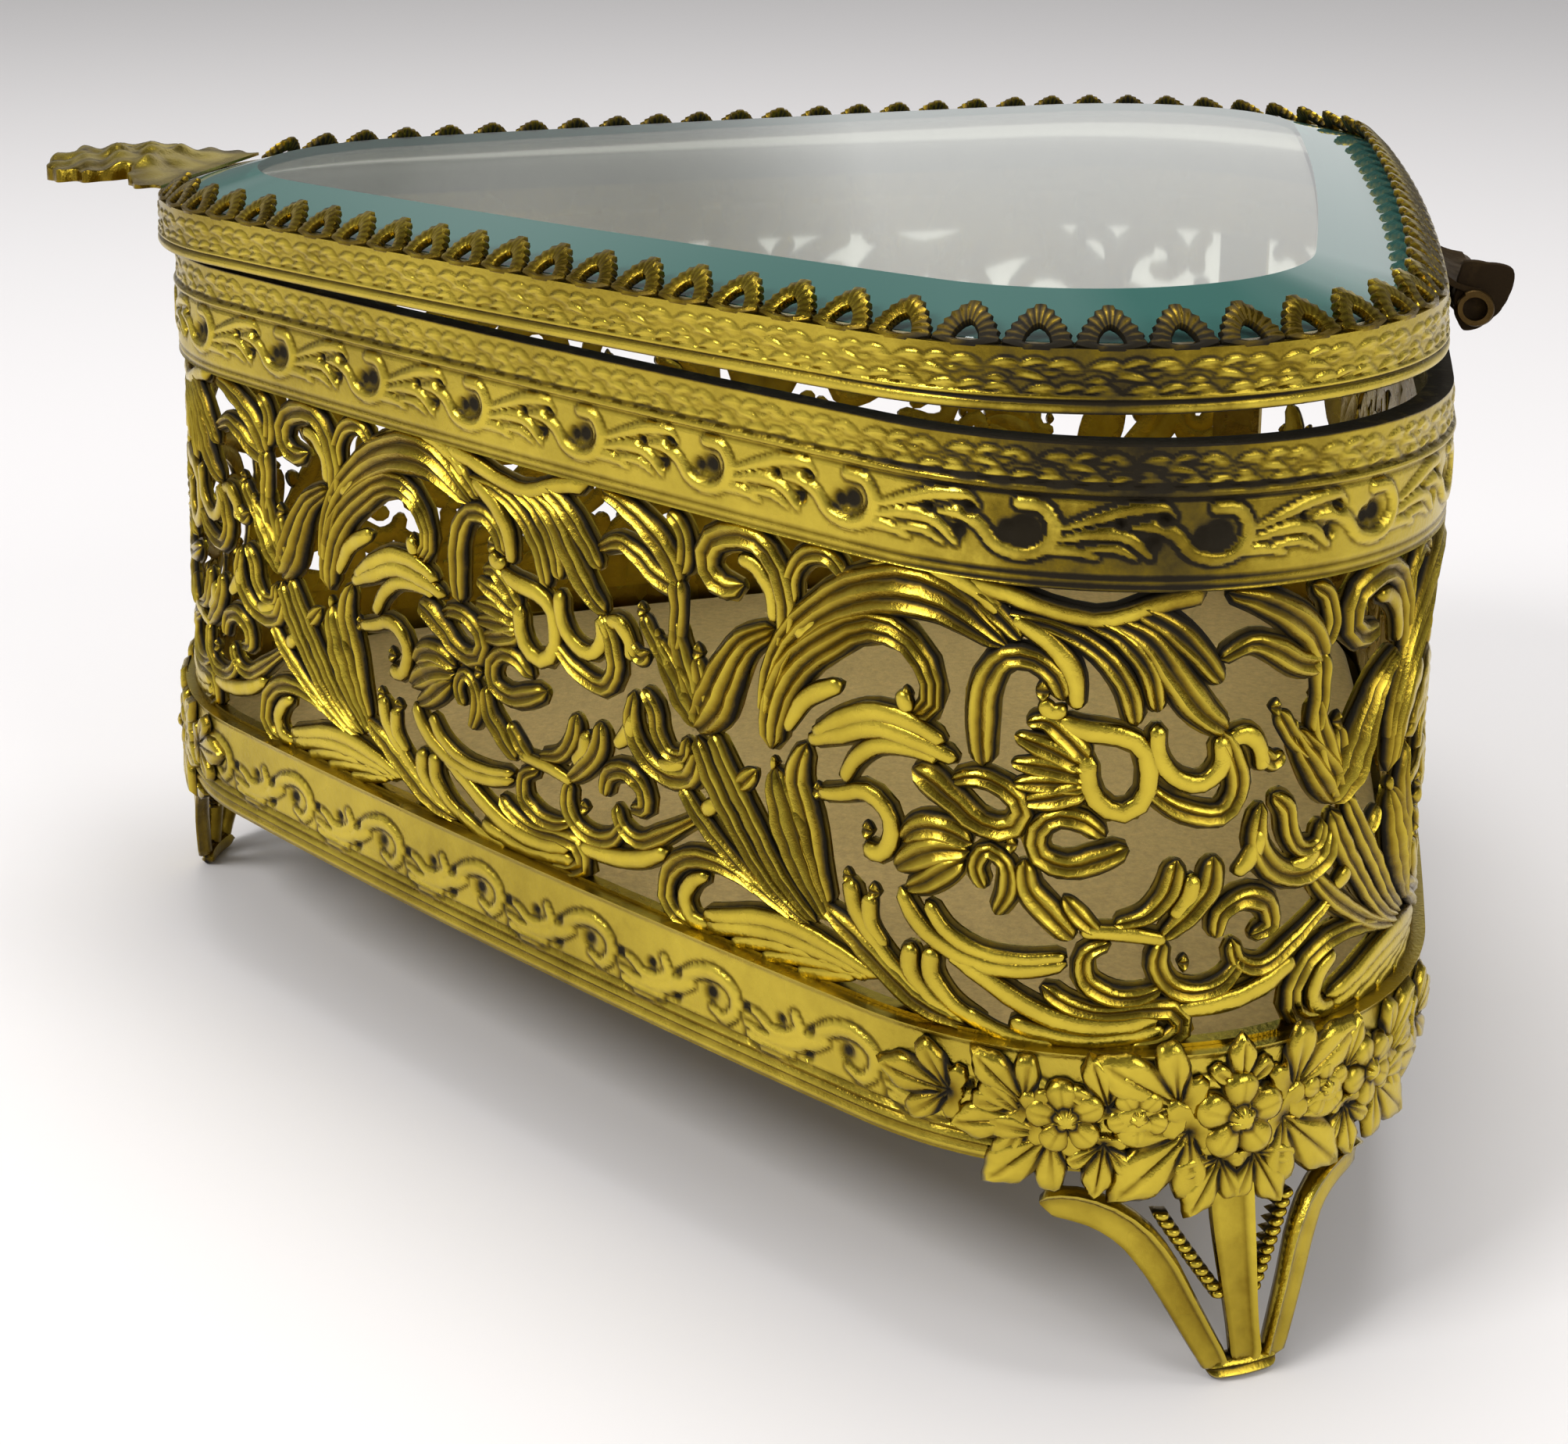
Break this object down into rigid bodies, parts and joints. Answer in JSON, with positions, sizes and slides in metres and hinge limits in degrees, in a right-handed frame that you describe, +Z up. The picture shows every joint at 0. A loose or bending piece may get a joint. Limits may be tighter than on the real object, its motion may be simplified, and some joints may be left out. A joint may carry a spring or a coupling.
{
  "type": "footed glass-lidded casket box",
  "caption": "Three-sided gilt filigree jewellery casket on scroll feet, with a bevelled glass lid hinged at the back, a pull tab and a velvet-lined floor.",
  "frame": {"origin": "on the surface that the feet stand on, below the middle of the bounding box", "axes": "+Z up, -Y the front with the pull tab, +Y the back with the hinge, +X the right-hand side seen from behind the tab's tip looking at the box"},
  "size_m": [0.1322, 0.1404, 0.0777],
  "materials": {
    "gilt": "stamped and gilded, with dark antiquing in the recesses",
    "old_gilt": "plain brass, darkened with age",
    "velvet": "short pile, taupe",
    "bevelled_glass": "polished, faintly green, bevelled all round"
  },
  "bodies": {
    "casket": {"floor_plate": "old_gilt", "lining_pad": "velvet", "floor_lugs": "old_gilt", "base_band": "gilt", "filigree_wall": "gilt", "filigree_joint": "old_gilt", "frieze_band": "gilt", "rim_band": "gilt", "corner_mount_front": "gilt", "corner_mount_right": "gilt", "corner_mount_left": "gilt", "foot_front": "gilt", "foot_right": "gilt", "foot_left": "gilt", "hinge_leaf_body": "old_gilt", "hinge_pin": "old_gilt"},
    "lid": {"hinge_leaf_lid": "old_gilt", "lid_band": "gilt", "glass_seat": "old_gilt", "lid_glass": "bevelled_glass", "gallery_crown": "gilt", "pull_tab": "gilt"}
  },
  "joints": [
    {"name": "lid_hinge", "type": "hinge", "parent": "casket", "child": "lid", "pos_m": [0, 0.06728, 0.068], "axis": [-1, 0, 0], "range_deg": [0, 100]}
  ]
}
